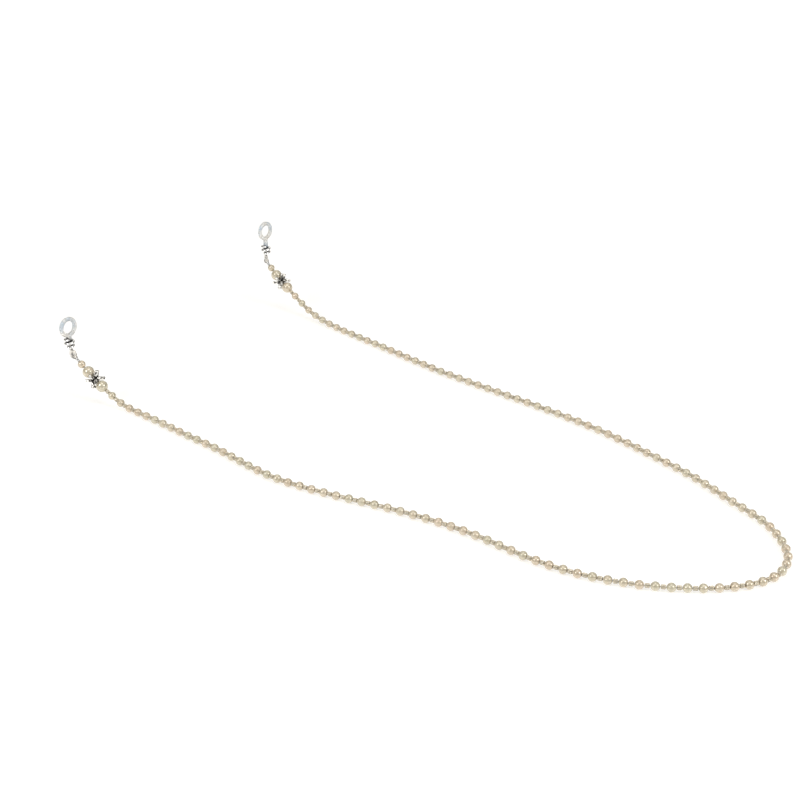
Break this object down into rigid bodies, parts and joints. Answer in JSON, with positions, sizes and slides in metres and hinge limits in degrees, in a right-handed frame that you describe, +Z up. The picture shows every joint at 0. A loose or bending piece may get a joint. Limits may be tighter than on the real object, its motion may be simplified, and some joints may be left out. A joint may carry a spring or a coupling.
{
  "type": "eyeglasses chain strap",
  "caption": "Eyeglass strap of pearl beads strung on wire, with silver spacers and a silicone loop with a coil sleeve at each end for the temples.",
  "frame": {"origin": "centre of the left temple loop's opening", "axes": "+X towards the wearer's right, +Y forward along the temple arms, +Z up; the strand lies on a flat surface below"},
  "size_m": [0.1674, 0.3768, 0.0494],
  "materials": {
    "silicone": "translucent, smooth",
    "coil_metal": "bright plated",
    "spacer_metal": "antiqued silver, dark in the hollows",
    "pearl": "pearl lustre, cream",
    "seed": "clear with a silvered bore",
    "wire": "satin"
  },
  "bodies": {
    "strand": {"bead_wire": "wire", "left_wire_bail": "wire", "right_wire_bail": "wire", "left_crimp": "wire", "right_crimp": "wire", "strand_pearls_1": "pearl", "strand_pearls_2": "pearl", "strand_pearls_3": "pearl", "strand_pearls_4": "pearl", "strand_pearls_5": "pearl", "strand_pearls_6": "pearl", "strand_pearls_7": "pearl", "strand_pearls_8": "pearl", "strand_pearls_9": "pearl", "seed_beads_1": "seed", "seed_beads_2": "seed", "seed_beads_3": "seed", "seed_beads_4": "seed", "seed_beads_5": "seed", "seed_beads_6": "seed", "seed_beads_7": "seed", "seed_beads_8": "seed", "seed_beads_9": "seed"},
    "left_loop": {"left_silicone_loop": "silicone"},
    "right_loop": {"right_silicone_loop": "silicone"},
    "left_coil": {"left_coil_sleeve": "coil_metal"},
    "right_coil": {"right_coil_sleeve": "coil_metal"},
    "left_lead_bead": {"left_lead_pearl": "pearl"},
    "left_upper_bead": {"left_upper_pearl": "pearl"},
    "left_spacer": {"left_spacer_hub": "spacer_metal", "left_spacer_arms": "spacer_metal"},
    "left_lower_bead": {"left_lower_pearl": "pearl"},
    "right_lead_bead": {"right_lead_pearl": "pearl"},
    "right_upper_bead": {"right_upper_pearl": "pearl"},
    "right_spacer": {"right_spacer_hub": "spacer_metal", "right_spacer_arms": "spacer_metal"},
    "right_lower_bead": {"right_lower_pearl": "pearl"}
  },
  "joints": [
    {"name": "left_loop_swing", "type": "hinge", "parent": "strand", "child": "left_loop", "pos_m": [0, -0.0022, -0.014], "axis": [1, 0, 0], "range_deg": [-60, 60]},
    {"name": "right_loop_swing", "type": "hinge", "parent": "strand", "child": "right_loop", "pos_m": [0.156, 0.0135, -0.01], "axis": [0.766, -0.6428, 0], "range_deg": [-40, 40]},
    {"name": "left_coil_slide", "type": "slide", "parent": "left_loop", "child": "left_coil", "axis": [0, 0, 1], "range_m": [-0.0002, 0]},
    {"name": "right_coil_slide", "type": "slide", "parent": "right_loop", "child": "right_coil", "axis": [0, 0, 1], "range_m": [-0.0001, 0.0026]},
    {"name": "left_lead_bead_spin", "type": "hinge", "parent": "strand", "child": "left_lead_bead", "pos_m": [0.00099, -0.00681, -0.01859], "axis": [0.1851, -0.7043, -0.6854], "continuous": true},
    {"name": "left_upper_bead_spin", "type": "hinge", "parent": "strand", "child": "left_upper_bead", "pos_m": [0.00189, -0.0105, -0.02204], "axis": [0.17, -0.733, -0.6586], "continuous": true},
    {"name": "left_spacer_spin", "type": "hinge", "parent": "strand", "child": "left_spacer", "pos_m": [0.00274, -0.01416, -0.02526], "axis": [0.168, -0.753, -0.6362], "continuous": true},
    {"name": "left_lower_bead_spin", "type": "hinge", "parent": "strand", "child": "left_lower_bead", "pos_m": [0.00349, -0.01802, -0.02826], "axis": [0.1318, -0.812, -0.5686], "continuous": true},
    {"name": "right_lead_bead_spin", "type": "hinge", "parent": "strand", "child": "right_lead_bead", "pos_m": [0.15538, 0.00911, -0.01471], "axis": [-0.0101, 0.7307, 0.6826], "continuous": true},
    {"name": "right_upper_bead_spin", "type": "hinge", "parent": "strand", "child": "right_upper_bead", "pos_m": [0.15546, 0.0053, -0.01814], "axis": [-0.0126, 0.7688, 0.6394], "continuous": true},
    {"name": "right_spacer_spin", "type": "hinge", "parent": "strand", "child": "right_spacer", "pos_m": [0.15551, 0.00137, -0.02114], "axis": [-0.0066, 0.8362, 0.5484], "continuous": true},
    {"name": "right_lower_bead_spin", "type": "hinge", "parent": "strand", "child": "right_lower_bead", "pos_m": [0.15549, -0.00282, -0.02377], "axis": [0.0245, 0.866, 0.4995], "continuous": true}
  ]
}
